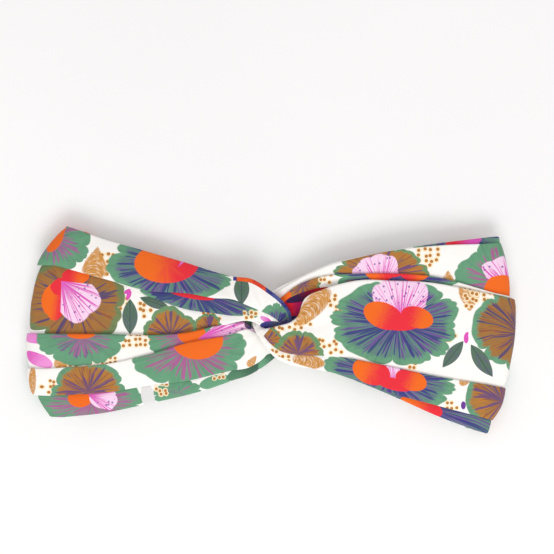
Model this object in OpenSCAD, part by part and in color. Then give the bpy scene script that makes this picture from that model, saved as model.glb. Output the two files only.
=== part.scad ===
// Knotted headband of printed cotton, lying flat on its back casing.
// Two pleated cloth bands are folded into U-turns that hold each other in the middle of the front.
// Each band runs from the knot to its end fold, round it, and back to a ruched casing with elastic.
// Origin: bottom centre. +X to the right along the length, +Y to the top edge, +Z up.

/* [Overall] */
// Length of the flat headband, from end fold to end fold
band_len = 240; // [200:1:290]
// Width over the flared ends
band_w = 102.2; // [85:0.2:125]

/* [Front] */
// Thickness of a pleated front leg
leg_t = 8; // [6:0.5:9]
// Distance of the knot-side bends from the middle
bend_x = 40; // [32:1:48]
// Distance of the end-side bends from the ends
end_inset = 10; // [8:0.5:12]
// Angle that each bend opens to when the headband is worn
open_angle = 60; // [45:1:60]
// Y of the split between the two legs of the left band
left_split = -2; // [-6:0.5:2]
// Y of the split between the two legs of the right band
right_split = 20; // [14:0.5:22]

/* [Knot] */
// Inner edge of a strand in the knot, from the middle line
strand_in = 4; // [3:0.5:6]
// Outer edge of a strand in the knot, from the middle line
strand_out = 25; // [20:0.5:28]
// Reach of each U-turn past the middle
turn_x = 20; // [16:0.5:24]
// Near side of each U-turn, past the middle
turn_in = 3; // [1:0.5:6]
// Thickness of a strand in the knot
strand_t = 7; // [5:0.5:8.5]

/* [Back] */
// Thickness of the back layer
back_t = 5; // [4.5:0.5:6]
// Free height between the back layer and the front legs
loop_gap = 5; // [5:0.5:8]
// Half length of the ruched casing, to the join seams
casing_x = 62; // [54:1:68]
// Length over which a return is drawn in to the width of the casing
draw_in = 20; // [10:1:24]
// Width of the ruched casing
casing_w = 32; // [26:1:44]
// Y of the middle of the casing
casing_y = 3; // [-4:0.5:6]
// Y of the split between the two legs of each band on the back
back_split = 0; // [-4:0.5:4]
// Width of the elastic
elastic_w = 22; // [15:1:24]
// Thickness of the elastic
elastic_t = 1.2; // [0.8:0.1:1.5]
// Distance of each elastic end from its join seam
elastic_inset = 5; // [3:1:6]

/* [Sewing] */
// Length of a join stitch across its seam
stitch_len = 1.2; // [0.8:0.1:2]
// Radius of the sewing thread
thread_r = 0.35; // [0.2:0.05:0.5]
// Distance between join stitches
stitch_pitch = 4; // [3:0.5:6]
// Width of the bar tack that holds the elastic
tack_w = 16; // [8:1:24]

/* [Clearances] */
// Half of the slit at each bend
slit = 0.15; // [0.1:0.05:0.3]
// Gap between the two bands in the knot, and round the elastic
gap = 0.3; // [0.2:0.05:0.5]

/* [Hidden] */
$fn = 48;

half_l = band_len / 2;
half_w = band_w / 2;
front_z = back_t + loop_gap;
front_top = front_z + leg_t;
high_z = front_z + strand_t + gap;
knot_top = high_z + strand_t;
end_x = half_l - end_inset;
seam_x = casing_x + stitch_len / 2;
elastic_x = casing_x - elastic_inset;

off_white = "#FBF8F4";
bloom_green = "#6FA07E";
bloom_ochre = "#B0782D";
bloom_orange = "#F07018";
casing_cream = "#EFE6DA";
elastic_white = "#F4F2EE";
thread_white = "#FFFFFF";

// Outlines, as shares of the half length and the half width, clockwise from the top at the knot
LEFT = [
  [-0.02, 0.55], [-0.33, 0.64], [-0.64, 0.847], [-0.842, 1], [-0.917, 0.75], [-0.975, 0.49], [-1, 0.13],
  [-1, -0.17], [-0.975, -0.5], [-0.912, -0.84], [-0.81, -0.843], [-0.55, -0.742], [-0.33, -0.62], [-0.02, -0.5]
];
RIGHT = [
  [0.02, 0.5], [0.33, 0.69], [0.62, 0.81], [0.94, 0.905], [0.965, 0.6], [1, 0.3], [1, 0.03],
  [0.973, -0.47], [0.888, -1], [0.74, -0.895], [0.44, -0.563], [0.33, -0.48], [0.02, -0.45]
];

// The outline of one side, in millimetres
module outline(side) {
  share = side < 0 ? LEFT : RIGHT;
  polygon([for (p = share) [p.x * half_l, p.y * half_w]]);
}

// A layer of one side between two distances from the middle and two values of Y
module layer(side, x0, x1, y0, y1, z0, z1) {
  lo = side < 0 ? -x1 : x0;
  translate([0, 0, z0])
    linear_extrude(z1 - z0)
      intersection() {
        outline(side);
        translate([lo, y0]) square([x1 - x0, y1 - y0]);
      }
}

function split_y(side) = side < 0 ? left_split : right_split;
function low_y(split, upper) = upper ? split + slit : -half_w;
function high_y(split, upper) = upper ? half_w : split - slit;

// Front leg of a band, from the knot-side bend to the end-side bend
module leg(side, upper) {
  y0 = low_y(split_y(side), upper);
  y1 = high_y(split_y(side), upper);
  layer(side, bend_x + slit, end_x - slit, y0, y1, front_z, front_top);
}

// End fold of a band, where it turns from the front to the back.
// Its two sloping faces leave room for the front leg and the return when the end opens.
module end_fold(side, upper) {
  y0 = low_y(split_y(side), upper);
  y1 = high_y(split_y(side), upper);
  rise = end_inset / tan(open_angle);
  intersection() {
    layer(side, end_x + slit, half_l, y0, y1, 0, front_top);
    translate([side * end_x, half_w, 0])
      rotate([90, 0, 0])
        linear_extrude(band_w)
          polygon([
            for (p = [
              [0, back_t + gap], [end_inset, back_t + gap - rise],
              [end_inset, front_z - gap + rise], [0, front_z - gap]
            ]) [side * p.x, p.y]
          ]);
  }
}

// Return of a band on the back, drawn in from the full width to the width of the casing
module band_return(side, upper) {
  drawn_x = casing_x + draw_in;
  y0 = low_y(back_split, upper);
  y1 = high_y(back_split, upper);
  linear_extrude(back_t)
    intersection() {
      outline(side);
      polygon([
        for (p = [
          [seam_x, casing_y - casing_w / 2], [drawn_x, -0.8 * half_w], [end_x - slit, -half_w],
          [end_x - slit, half_w], [drawn_x, 0.8 * half_w], [seam_x, casing_y + casing_w / 2]
        ]) [side * p.x, p.y]
      ]);
      translate([-half_l, y0]) square([band_len, y1 - y0]);
    }
}

// Strand between two stations, each given as [x, inner y, outer y, z]
module strand(a, b, ta, tb) {
  skin = 0.5;
  hull() {
    translate([a[0], min(a[1], a[2]), a[3]]) cube([skin, abs(a[2] - a[1]), ta]);
    translate([b[0] - skin, min(b[1], b[2]), b[3]]) cube([skin, abs(b[2] - b[1]), tb]);
  }
}

// U-turn of a band that comes from the left: its first strand lies high and its second one low
module u_turn(high_in, high_out, low_in, low_out) {
  start = -bend_x + slit;
  climb = -turn_x - gap;
  turn_len = turn_x - turn_in;
  strand([start, high_in, high_out, front_z], [climb, strand_in, strand_out, high_z], leg_t, strand_t);
  strand([climb, strand_in, strand_out, high_z], [turn_x, strand_in, strand_out, high_z], strand_t, strand_t);
  strand([start, low_in, low_out, front_z], [climb, -strand_in, -strand_out, front_z], leg_t, strand_t);
  strand([climb, -strand_in, -strand_out, front_z], [turn_x, -strand_in, -strand_out, front_z], strand_t, strand_t);
  translate([turn_in, -strand_in + gap, front_z]) cube([turn_len, 2 * (strand_in - gap), knot_top - front_z]);
  translate([turn_in, 0, high_z]) cube([turn_len, 2 * strand_in, strand_t]);
  translate([turn_in, -2 * strand_in, front_z]) cube([turn_len, 2 * strand_in, strand_t]);
}

// Casing tube with a slot for the elastic
module casing(x0, x1) {
  difference() {
    translate([x0, casing_y - casing_w / 2, 0]) cube([x1 - x0, casing_w, back_t]);
    translate([x0 - 1, casing_y - elastic_w / 2 - gap, back_t / 2 - elastic_t / 2 - gap])
      cube([x1 - x0 + 2, elastic_w + 2 * gap, elastic_t + 2 * gap]);
  }
}

module elastic_strip(x0, x1) {
  translate([x0, casing_y - elastic_w / 2, (back_t - elastic_t) / 2]) cube([x1 - x0, elastic_w, elastic_t]);
}

// Row of stitches that bridge the seam between a band and the casing
module join_stitches(side) {
  count = floor((casing_w / 2 - 2) / stitch_pitch);
  for (i = [-count:count])
    translate([side * casing_x - stitch_len / 2, casing_y + i * stitch_pitch, back_t / 2])
      rotate([0, 90, 0]) cylinder(h = stitch_len, r = thread_r);
}

// Bar tack of three thread bars on each face of the elastic
module elastic_tack(side) {
  bar = 0.8;
  first_bar = 1.4;
  bar_pitch = 1.5;
  for (face = [0, 1], i = [0:2])
    translate([
      side * (elastic_x - first_bar - bar_pitch * i) - bar / 2, casing_y - tack_w / 2,
      back_t / 2 - elastic_t / 2 - gap + face * (elastic_t + gap)
    ])
      cube([bar, tack_w, gap]);
}

module left_band_loop() {
  color(bloom_orange)
    u_turn(left_split + slit, 0.64 * half_w, left_split - slit, -0.62 * half_w);
}

module right_band_loop() {
  color(bloom_green)
    rotate([0, 0, 180])
      u_turn(-right_split + slit, 0.48 * half_w, -right_split - slit, -0.69 * half_w);
}

module left_band_upper_leg() { color(bloom_green) leg(-1, true); }
module left_band_lower_leg() { color(off_white) leg(-1, false); }
module right_band_upper_leg() { color(bloom_ochre) leg(1, true); }
module right_band_lower_leg() { color(off_white) leg(1, false); }

module left_band_upper_end() { color(bloom_ochre) end_fold(-1, true); }
module left_band_lower_end() { color(off_white) end_fold(-1, false); }
module right_band_upper_end() { color(bloom_green) end_fold(1, true); }
module right_band_lower_end() { color(bloom_ochre) end_fold(1, false); }

module left_band_upper_return() { color(bloom_green) band_return(-1, true); }
module left_band_lower_return() { color(off_white) band_return(-1, false); }
module right_band_upper_return() { color(bloom_green) band_return(1, true); }
module right_band_lower_return() { color(off_white) band_return(1, false); }

module back_casing() { color(casing_cream) casing(-bend_x + slit, bend_x - slit); }
module left_casing_end() { color(casing_cream) casing(-casing_x + stitch_len / 2, -bend_x - slit); }
module right_casing_end() { color(casing_cream) casing(bend_x + slit, casing_x - stitch_len / 2); }

module elastic() { color(elastic_white) elastic_strip(-bend_x + slit, bend_x - slit); }
module left_elastic_end() { color(elastic_white) elastic_strip(-elastic_x, -bend_x - slit); }
module right_elastic_end() { color(elastic_white) elastic_strip(bend_x + slit, elastic_x); }

module left_join_stitches() { color(thread_white) join_stitches(-1); }
module right_join_stitches() { color(thread_white) join_stitches(1); }
module left_elastic_tack() { color(thread_white) elastic_tack(-1); }
module right_elastic_tack() { color(thread_white) elastic_tack(1); }

left_band_loop();
right_band_loop();
left_band_upper_leg();
left_band_lower_leg();
right_band_upper_leg();
right_band_lower_leg();
left_band_upper_end();
left_band_lower_end();
right_band_upper_end();
right_band_lower_end();
left_band_upper_return();
left_band_lower_return();
right_band_upper_return();
right_band_lower_return();
back_casing();
left_casing_end();
right_casing_end();
elastic();
left_elastic_end();
right_elastic_end();
left_join_stitches();
right_join_stitches();
left_elastic_tack();
right_elastic_tack();
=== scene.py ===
import math

import bpy
import numpy as np
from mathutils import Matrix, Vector, noise


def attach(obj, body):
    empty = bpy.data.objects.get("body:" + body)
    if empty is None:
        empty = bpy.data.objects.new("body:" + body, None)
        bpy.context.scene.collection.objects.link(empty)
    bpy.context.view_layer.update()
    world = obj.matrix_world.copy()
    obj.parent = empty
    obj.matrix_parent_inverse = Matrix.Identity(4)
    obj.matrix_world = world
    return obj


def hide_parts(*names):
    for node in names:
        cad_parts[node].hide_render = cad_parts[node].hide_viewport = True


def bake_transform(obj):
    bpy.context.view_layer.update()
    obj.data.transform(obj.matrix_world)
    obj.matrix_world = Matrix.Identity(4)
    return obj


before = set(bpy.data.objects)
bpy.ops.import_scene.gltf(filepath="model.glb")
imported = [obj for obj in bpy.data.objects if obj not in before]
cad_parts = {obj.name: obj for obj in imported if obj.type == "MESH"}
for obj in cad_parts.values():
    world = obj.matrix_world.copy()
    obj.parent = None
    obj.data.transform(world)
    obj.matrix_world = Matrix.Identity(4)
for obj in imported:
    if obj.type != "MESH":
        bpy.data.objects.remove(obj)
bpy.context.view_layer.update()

# Everything below is in millimetres until a mesh is made.
MM = 0.001

# ---------------------------------------------------------------- sizes
FRONT_Z = 10.0          # underside of the front legs
NOSE_Z = 9.0            # height about which the cloth turns round each end
BACK_Z = 5.0            # inner face of the back layer
BACK_SHARE = 0.625      # how much of the front's pleat height the back keeps
PLEAT_STEP = 1.15       # height of one layer over the next at a pleat
SEAM_X = 62.3           # where a band is sewn to the casing
CASING_W = 32.0
CASING_Y = 3.0
CASING_T = 5.0
ELASTIC_W = 22.0
ELASTIC_T = 1.2
ELASTIC_Z = 2.5         # middle of the casing and of the elastic
ELASTIC_END = 57.0      # the elastic ends at this X
ELASTIC_CELLS = 38
TACK_X = 53.5           # first of the three rows of the bar tack
STATION_STEP = 1.15     # spacing of the cross-sections along a band
UNDER_STEPS = 26        # steps across the underside of a band
NOSE_STEPS = 18         # steps round the turn at each end
BACK_STEPS = 44         # steps from that turn to the seam with the casing
UNDERSIDE_SHIFT = 200.0 # the underside takes another stretch of the print

# ---------------------------------------------------------------- colours of the print
GROUND = (252, 250, 246)
GREEN = (104, 160, 124)
DEEP_GREEN = (66, 104, 84)
LEAF_GREEN = (88, 116, 94)
MIDRIB = (56, 66, 84)
BROWN = (128, 84, 46)
ORANGE = (242, 108, 22)
RED = (234, 44, 58)
MAGENTA = (222, 84, 186)
PINK = (249, 214, 240)
NAVY = (54, 54, 128)
PURPLE = (108, 58, 150)
MAUVE = (168, 104, 152)
TAN = (214, 152, 78)
CREAM = (255, 234, 196)
DOT_BROWN = (186, 122, 52)
# painted shade: a pale grey for a shadowed patch of the white cloth
PAINTED_SHADE_GREY = (226, 224, 224)


def paint(rgb):
    """A printed colour as the linear colour that a shader takes."""
    channels = []
    for value in rgb:
        c = value / 255
        channels.append(c / 12.92 if c <= 0.04045 else ((c + 0.055) / 1.055) ** 2.4)
    return (*channels, 1.0)


# ---------------------------------------------------------------- node helpers
class Field:
    """A number, place or colour that changes over a surface: a node's socket that takes arithmetic."""

    def __init__(self, socket):
        self.socket = socket
        self.tree = socket.id_data

    def __add__(self, other):
        return maths("ADD", self, other)

    def __radd__(self, other):
        return maths("ADD", self, other)

    def __sub__(self, other):
        return maths("SUBTRACT", self, other)

    def __rsub__(self, other):
        return maths("SUBTRACT", other, self)

    def __mul__(self, other):
        return maths("MULTIPLY", self, other)

    def __rmul__(self, other):
        return maths("MULTIPLY", self, other)

    def __truediv__(self, other):
        return maths("DIVIDE", self, other)

    def __rtruediv__(self, other):
        return maths("DIVIDE", other, self)

    def __pow__(self, power):
        return maths("POWER", self, power)

    def __abs__(self):
        return maths("ABSOLUTE", self)


def put(value, socket):
    """A link where value is a field, and the socket's own value where it isn't."""
    if isinstance(value, Field):
        value.tree.links.new(value.socket, socket)
    else:
        socket.default_value = value


def node(tree, kind, inputs=(), **settings):
    """A node with its settings and, by name or number, its inputs."""
    made = tree.nodes.new(kind)
    for name, value in settings.items():
        setattr(made, name, value)
    for name, value in dict(inputs).items():
        put(value, made.inputs[name])
    return made


def field(tree, kind, inputs=(), output=0, **settings):
    """One output of a new node."""
    return Field(node(tree, kind, inputs, **settings).outputs[output])


def maths(operation, *values):
    """A maths node on values of which at least one is a field."""
    tree = next(value.tree for value in values if isinstance(value, Field))
    return field(tree, "ShaderNodeMath", dict(enumerate(values)), operation=operation)


def sine(value):
    return maths("SINE", value)


def smooth_step(value, low, high, start=0.0, end=1.0):
    inputs = {"Value": value, "From Min": low, "From Max": high, "To Min": start, "To Max": end}
    return field(value.tree, "ShaderNodeMapRange", inputs, interpolation_type="SMOOTHSTEP")


def mix(share, under, over):
    """The colour under at a share of 0, and the colour over at 1."""
    return field(share.tree, "ShaderNodeMix", {0: share, 6: under, 7: over}, 2, data_type="RGBA")


def noise_node(vector, scale=1.0, detail=2.0):
    return field(vector.tree, "ShaderNodeTexNoise", {"Vector": vector, "Scale": scale, "Detail": detail})


def combine(x, y=0.0, z=0.0):
    return field(x.tree, "ShaderNodeCombineXYZ", {0: x, 1: y, 2: z})


def split(vector):
    made = node(vector.tree, "ShaderNodeSeparateXYZ", {0: vector})
    return [Field(socket) for socket in made.outputs]


def length(vector):
    return field(vector.tree, "ShaderNodeVectorMath", {0: vector}, "Value", operation="LENGTH")


def new_group(name, kind, inputs, outputs):
    """A node group with sockets given as name and type. Returns its tree and its inputs as fields."""
    tree = bpy.data.node_groups.new(name, kind)
    for way, sockets in (("INPUT", inputs), ("OUTPUT", outputs)):
        for socket, of_type in sockets:
            tree.interface.new_socket(socket, in_out=way, socket_type="NodeSocket" + of_type)
    return tree, {socket.name: Field(socket) for socket in tree.nodes.new("NodeGroupInput").outputs}


# ---------------------------------------------------------------- the motifs of the print
def within(place, given):
    """A place on the cloth as the motif sees it: centred, turned, and 1 long at the motif's reach."""
    inputs = {"Vector": place, "Location": given["Centre"], "Rotation": given["Turn"],
              "Scale": given["Reach"]}
    return field(place.tree, "ShaderNodeMapping", inputs, vector_type="TEXTURE")


def motif_group(name, numbers=(), colours=()):
    """A node group for one printed motif.

    Returns its inputs, and the place's x, y, distance and angle; the motif's edge is at a distance of 1.
    """
    sockets = [(socket, "Vector") for socket in ("Place", "Centre", "Turn", "Reach")]
    sockets += [(number, "Float") for number in numbers]
    sockets += [(colour, "Color") for colour in ("Under", *colours)]
    given = new_group(name, "ShaderNodeTree", sockets, [("Color", "Color")])[1]
    x, y = split(within(given["Place"], given))[:2]
    return given, x, y, length(combine(x, y)), maths("ARCTAN2", y, x)


def finish(result):
    """Puts a field out as its group's only output, and returns the group."""
    put(result, result.tree.nodes.new("NodeGroupOutput").inputs[0])
    return result.tree


def ray_noise(angle, far, seed, fineness, drift, detail=2.0):
    """Noise that is stretched outwards from the motif's centre, for brushed streaks."""
    across = maths("COSINE", angle) * fineness
    return noise_node(combine(across, sine(angle) * fineness, far * drift + seed), 1.0, detail)


def bloom_group():
    """A flower: uneven notched petals with a plain rim, and streaks brushed outwards from the heart."""
    given, x, y, far, angle = motif_group(
        "bloom", ("Petals", "Notch", "Seed", "Fineness", "Streaks", "Border"),
        ("Body", "Rim", "Streak", "Second streak"))
    seed, fineness = given["Seed"], given["Fineness"]
    wobble = ray_noise(angle, 0.0, seed, 2.4, 0.0)
    sway = ray_noise(angle, 0.0, seed, 1.1, 0.0, 0.0)
    phase = (angle - given["Notch"] + (1.6 * sway - 0.8)) * (given["Petals"] * 0.5)
    petal = abs(sine(phase)) ** 0.4
    scallop = abs(sine(phase * 3.0))
    out = far / (0.78 + 0.15 * petal + 0.035 * scallop + 0.1 * wobble)
    inside = smooth_step(out, 1.015, 0.985)
    rays = ray_noise(angle, far, seed, fineness, 0.8)
    fine_rays = ray_noise(angle, far, seed + 17.0, fineness * 1.5, 1.1)
    inner = 1.0 - 1.4 * given["Border"]
    outer = 1.0 - 0.6 * given["Border"]
    colour = mix(smooth_step(out - 0.1 + 0.2 * rays, inner, outer), given["Body"], given["Rim"])
    # a streak shows where its ray is stronger than the need, which grows outwards, so that it tapers
    past = maths("MAXIMUM", out - inner, 0.0)
    need = 0.585 - 0.17 * given["Streaks"] + 0.18 * out + 0.8 * past
    for strength, ink in ((fine_rays, "Second streak"), (rays, "Streak")):
        colour = mix(smooth_step(strength - need, 0.0, 0.035, 0.0, 0.9), colour, given[ink])
    colour = mix(smooth_step(fine_rays, 0.46, 0.36, 0.0, 0.2), colour, paint(DEEP_GREEN))
    mottle = noise_node(given["Place"], 0.22)
    colour = mix(smooth_step(mottle, 0.3, 0.7, 0.0, 0.14), colour, paint(DEEP_GREEN))
    return finish(mix(inside, given["Under"], colour))


def lobe_group():
    """A smooth heart petal whose colour changes from one side to the other."""
    given, x, y, far, angle = motif_group("lobe", ("Seed",), ("Start", "End"))
    rays = ray_noise(angle, far, given["Seed"], 6.0, 0.6)
    colour = mix(smooth_step(x + 0.9 * rays, -0.1, 1.0), given["Start"], given["End"])
    return finish(mix(smooth_step(far, 1.02, 0.97), given["Under"], colour))


def fan_group():
    """A fan petal: pale, scalloped, with lines that spread from its point and small dark specks."""
    given, x, y, far, angle = motif_group("fan", ("Half angle", "Seed"), ("Ground", "Line"))
    half, turned = given["Half angle"], abs(angle)
    sector = smooth_step(half - turned, 0.0, 0.05)
    corner = smooth_step(turned / half, 0.5, 1.05, 0.0, 0.34)
    edge = 0.94 + 0.05 * abs(sine(angle * 6.5)) - corner
    inside = sector * smooth_step(far / edge, 1.01, 0.97)
    rays = ray_noise(angle, far, given["Seed"], 30.0, 0.6)
    colour = mix(smooth_step(rays - (0.39 + 0.25 * far), -0.03, 0.05), given["Ground"], given["Line"])
    colour = mix(smooth_step(far, 0.5, 0.05, 0.0, 0.7), colour, given["Line"])
    near = field(far.tree, "ShaderNodeTexVoronoi", {"Vector": given["Place"], "Scale": 0.42}, "Distance")
    speck = smooth_step(near, 0.27, 0.19) * smooth_step(far, 0.3, 0.5) * 0.75
    colour = mix(speck, colour, paint(PURPLE))
    return finish(mix(inside, given["Under"], colour))


def leaf_group():
    """A pointed leaf with a dark midrib and brushed veins."""
    given, x, y, far, angle = motif_group("leaf", ("Seed",), ("Body",))
    side = abs(y)
    inside = smooth_step(1.0 - x * x - side, 0.0, 0.1)
    veins = noise_node(combine((x - 1.1 * side) * 7.0, side, given["Seed"]))
    colour = mix(smooth_step(veins, 0.5, 0.62, 0.0, 0.3), given["Body"], paint(PURPLE))
    colour = mix(smooth_step(veins, 0.46, 0.34, 0.0, 0.7), colour, paint(DEEP_GREEN))
    colour = mix(smooth_step(side, 0.1, 0.03, 0.0, 0.6), colour, paint(MIDRIB))
    return finish(mix(inside, given["Under"], colour))


def feather_group():
    """A tan plume drawn in curved hatching that lets the ground through."""
    given, x, y, far, angle = motif_group("feather", ("Seed", "Taper"), ("Body",))
    side = y / maths("MAXIMUM", 1.0 - given["Taper"] * x, 0.1)
    bow = x + 0.4 * (y * y)
    hatch = noise_node(combine(bow * 19.0, y * 1.6, given["Seed"]))
    inside = smooth_step(length(combine(x, side)) + 0.35 * hatch, 1.2, 1.05)
    cover = smooth_step(hatch, 0.34, 0.48, 0.45, 1.0)
    colour = mix(smooth_step(hatch, 0.54, 0.68, 0.0, 0.6), given["Body"], paint(BROWN))
    return finish(mix(inside * cover, given["Under"], colour))


def seeds_group():
    """A patch of seeds: brown dots with a cream halo, kept whole at the patch's edge."""
    given, x, y, far, angle = motif_group("seeds", ("Pitch",), ("Body",))
    inputs = {"Vector": given["Place"], "Scale": 1.0 / given["Pitch"], "Randomness": 0.55}
    cells = node(x.tree, "ShaderNodeTexVoronoi", inputs, voronoi_dimensions="2D")
    away = length(within(Field(cells.outputs["Position"]), given))
    kept = maths("LESS_THAN", away, 1.0)
    near = Field(cells.outputs["Distance"])
    colour = mix(smooth_step(near, 0.64, 0.44, 0.0, 0.9) * kept, given["Under"], paint(CREAM))
    return finish(mix(smooth_step(near, 0.33, 0.26) * kept, colour, given["Body"]))


def bar_group():
    """A plain patch of colour with a brushed, wavy edge, for what a narrow pleat shows of a flower."""
    given, x, y, far, angle = motif_group("bar", ("Seed", "Streaks"), ("Body", "Streak"))
    wave = noise_node(combine(y * 1.5, 0.0, given["Seed"]))
    inside = smooth_step(abs(x) - 0.25 * wave, 0.9, 0.84) * smooth_step(abs(y), 1.0, 0.98)
    lines = noise_node(combine(x, y * 6.0, given["Seed"]))
    colour = mix(smooth_step(lines, 0.5, 0.58) * given["Streaks"], given["Body"], given["Streak"])
    return finish(mix(inside, given["Under"], colour))


def weave_group():
    """Height of the plain weave and of the cloth's small crumples, from the place on the cloth."""
    tree, given = new_group("plain weave", "ShaderNodeTree", [("Place", "Vector"), ("Pitch", "Float")],
                            [("Height", "Float"), ("Shade", "Float")])
    place = given["Place"]
    x, y = split(place)[:2]
    turn = 2 * math.pi / given["Pitch"]
    threads = sine(x * turn) * sine(y * turn)
    slub = noise_node(place, 1.6)
    result = tree.nodes.new("NodeGroupOutput")
    put(0.06 * threads + 1.6 * noise_node(place, 0.16, 3.0) + 0.12 * slub, result.inputs["Height"])
    put(0.5 * slub + 0.12 * threads, result.inputs["Shade"])
    return tree


GROUPS = {
    "bloom": bloom_group(),
    "lobe": lobe_group(),
    "fan": fan_group(),
    "leaf": leaf_group(),
    "feather": feather_group(),
    "seeds": seeds_group(),
    "bar": bar_group(),
    "weave": weave_group(),
}

# The flowers of the print: petals, streaks, width of the plain border, and the colours of the body, the
# rim and the two kinds of streak.
FLOWERS = {
    "sage": (6, 0.66, 0.26, GREEN, GREEN, MAUVE, (122, 92, 140)),
    "sage_magenta": (7, 1.05, 0.2, GREEN, GREEN, (178, 90, 150), MAUVE),
    "night": (8, 1.08, 0.15, (98, 136, 126), GREEN, NAVY, (112, 72, 150)),
    "ochre": (5, 0.8, 0.16, (184, 122, 50), (112, 152, 106), (104, 70, 124), (150, 88, 62)),
    "ochre_dark": (6, 0.76, 0.14, (168, 114, 54), (116, 134, 86), (82, 64, 112), (148, 84, 60)),
}
# How many streaks a flower has round it for each millimetre of its reach.
STREAKS_PER_MM = 0.46
ALL_OVER_FROM = 146.0   # past this X on the cloth, the all-over print takes over from a pleat's own
THREAD_PITCH = 0.7      # of the plain weave
WEAVE_SHADOW = (120, 112, 118)


class Print:
    """The printed colour of one stretch of cloth, built up motif by motif."""

    def __init__(self, tree, place, ground):
        self.tree = tree
        self.place = place
        self.colour = ground
        self.count = 0

    def add(self, group, centre, reach, turn=0, **values):
        self.count += 1
        made = self.tree.nodes.new("ShaderNodeGroup")
        made.node_tree = GROUPS[group]
        values = {name.replace("_", " ").capitalize(): value for name, value in values.items()}
        values.update({
            "Place": self.place,
            "Centre": (*centre, 0.0),
            "Turn": (0.0, 0.0, math.radians(turn)),
            "Reach": (*reach, 1.0),
            "Under": self.colour,
        })
        if "Seed" in made.inputs:
            values.setdefault("Seed", 3.7 * self.count + 0.13 * centre[0])
        for name, value in values.items():
            is_ink = made.inputs[name].type == "RGBA" and isinstance(value, tuple) and len(value) == 3
            put(paint(value) if is_ink else value, made.inputs[name])
        self.colour = Field(made.outputs[0])

    def bloom(self, kind, centre, reach, turn=0, **values):
        petals, streaks, border, body, rim, streak, second = FLOWERS[kind]
        values.setdefault("petals", petals)
        values.setdefault("streaks", streaks)
        values.setdefault("border", border)
        values.setdefault("rim", rim)
        values["notch"] = math.radians(values.get("notch", 40 * self.count))
        values["fineness"] = STREAKS_PER_MM * math.sqrt(reach[0] * reach[1])
        self.add("bloom", centre, reach, turn, body=body, streak=streak, second_streak=second, **values)

    def lobe(self, centre, reach, turn=0, start=ORANGE, end=ORANGE):
        self.add("lobe", centre, reach, turn, start=start, end=end)

    def fan(self, point, radius, turn, half_angle=38):
        self.add("fan", point, (radius, radius), turn, half_angle=math.radians(half_angle),
                 ground=PINK, line=MAGENTA)

    def leaf(self, centre, length, width, turn=90):
        self.add("leaf", centre, (length / 2, width / 2), turn, body=LEAF_GREEN)

    def feather(self, centre, length, width, turn=0, taper=0.2):
        """A plume; above zero, taper narrows the end that it is turned towards."""
        self.add("feather", centre, (length / 2, width / 2), turn, taper=taper, body=TAN)

    def seeds(self, centre, reach, turn=0, pitch=3.0):
        self.add("seeds", centre, reach, turn, pitch=pitch, body=DOT_BROWN)

    def bar(self, low, high, body, streak, streaks=0.8):
        """A patch right across the pleat, from X low to X high."""
        self.add("bar", ((low + high) / 2, 0.0), ((high - low) / 2 + 0.5, 35.0),
                 body=body, streak=streak, streaks=streaks)


def all_over(tree, place):
    """The print away from the front: a flower or a patch of seeds in every cell of a loose grid."""
    cells = node(tree, "ShaderNodeTexVoronoi", {"Vector": place, "Scale": 0.024, "Randomness": 0.62},
                 voronoi_dimensions="2D")
    centre = Field(cells.outputs["Position"])
    local = field(tree, "ShaderNodeVectorMath", {0: place, 1: centre}, operation="SUBTRACT")
    chance = field(tree, "ShaderNodeSeparateColor", {0: Field(cells.outputs["Color"])})
    printed = Print(tree, local, paint(GROUND))
    printed.seeds((17, 8), (6, 4), 30)
    printed.seeds((-15, -12), (5, 4), 0)
    printed.leaf((17, -9), 14, 6, 60)
    ground = printed.colour
    printed.bloom("sage", (0, 0), (16, 14))
    sage, printed.colour = printed.colour, ground
    printed.bloom("ochre", (0, 0), (15, 14))
    printed.colour = mix(maths("GREATER_THAN", chance, 0.55), sage, printed.colour)
    printed.lobe((0, -2), (7, 4), 0, ORANGE, RED)
    printed.fan((0, -1), 9, 85, 48)
    return printed.colour, centre


def new_material(name):
    material = bpy.data.materials.new(name)
    material.use_nodes = True
    material.node_tree.nodes.clear()
    return material, material.node_tree


def surface(tree, inputs, height, strength, depth):
    """Ends a material: a plain shader with these inputs, and bumps that are depth millimetres high."""
    bump = field(tree, "ShaderNodeBump", {"Height": height, "Strength": strength, "Distance": depth * MM})
    shader = field(tree, "ShaderNodeBsdfPrincipled", {**inputs, "Normal": bump})
    node(tree, "ShaderNodeOutputMaterial", {0: shader})


def cloth_material(name, motifs):
    """Printed cotton. motifs adds one stretch's motifs to a Print; None gives the all-over print."""
    material, tree = new_material(name)
    place = field(tree, "ShaderNodeUVMap", uv_map="print")
    colour, centre = all_over(tree, place)
    if motifs:
        outside = maths("GREATER_THAN", abs(split(centre)[0]), ALL_OVER_FROM)
        printed = Print(tree, place, mix(outside, paint(GROUND), colour))
        motifs(printed)
        colour = printed.colour
    weave = node(tree, "ShaderNodeGroup", node_tree=GROUPS["weave"])
    put(place, weave.inputs["Place"])
    weave.inputs["Pitch"].default_value = THREAD_PITCH
    shade = Field(weave.outputs["Shade"])
    colour = mix(smooth_step(shade, 0.0, 0.55, 0.06, 0.0), colour, paint(WEAVE_SHADOW))
    surface(tree, {
        "Base Color": colour, "Roughness": smooth_step(shade, 0.0, 0.6, 0.92, 0.8),
        "Specular IOR Level": 0.25, "Sheen Weight": 0.12, "Sheen Roughness": 0.4,
    }, Field(weave.outputs["Height"]), 0.35, 0.35)
    return material


# ---------------------------------------------------------------- the print, pleat by pleat
def heart(p, x, y):
    """The heart of the large flower: a fan petal behind two orange lobes on a red base."""
    p.fan((x + 2, y + 0.4), 23, 92, 61)
    p.lobe((x + 2, y - 0.6), (9.4, 3.4), 0, RED, RED)
    p.lobe((x - 6.7, y + 3.4), (10.2, 6.4), -22, ORANGE, RED)
    p.lobe((x + 9.8, y + 2.6), (8.2, 5.2), 162, ORANGE, RED)


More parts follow.
